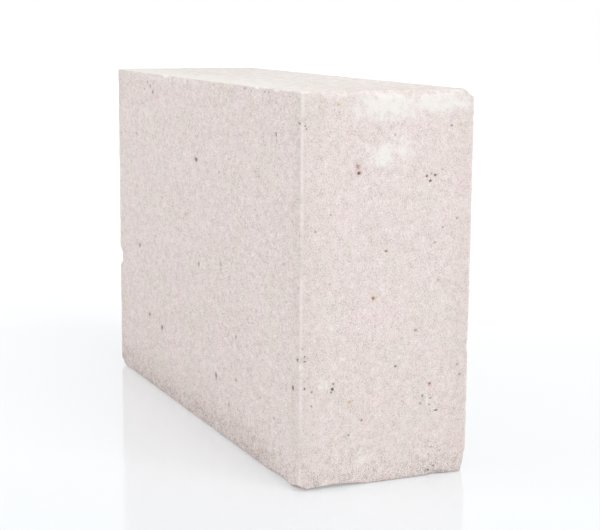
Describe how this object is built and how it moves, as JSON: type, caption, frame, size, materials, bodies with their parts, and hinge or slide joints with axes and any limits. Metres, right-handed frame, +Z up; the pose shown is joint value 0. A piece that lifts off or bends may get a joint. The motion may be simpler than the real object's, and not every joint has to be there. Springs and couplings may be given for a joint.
{
  "type": "concrete foundation block",
  "caption": "Solid rectangular concrete block for foundation walls, standing on its long narrow face, with rounded arrises, flaked edges and broken corners.",
  "frame": {"origin": "middle of the base, on the floor", "axes": "+X along the length towards the near end, +Y through the thickness towards the back long face, +Z up"},
  "size_m": [0.38, 0.12, 0.25],
  "materials": {
    "concrete": "dry pressed concrete, matt and sandy, pale pinkish grey with small pores and white laitance"
  },
  "bodies": {
    "root": {"foundation_block": "concrete"}
  },
  "joints": []
}
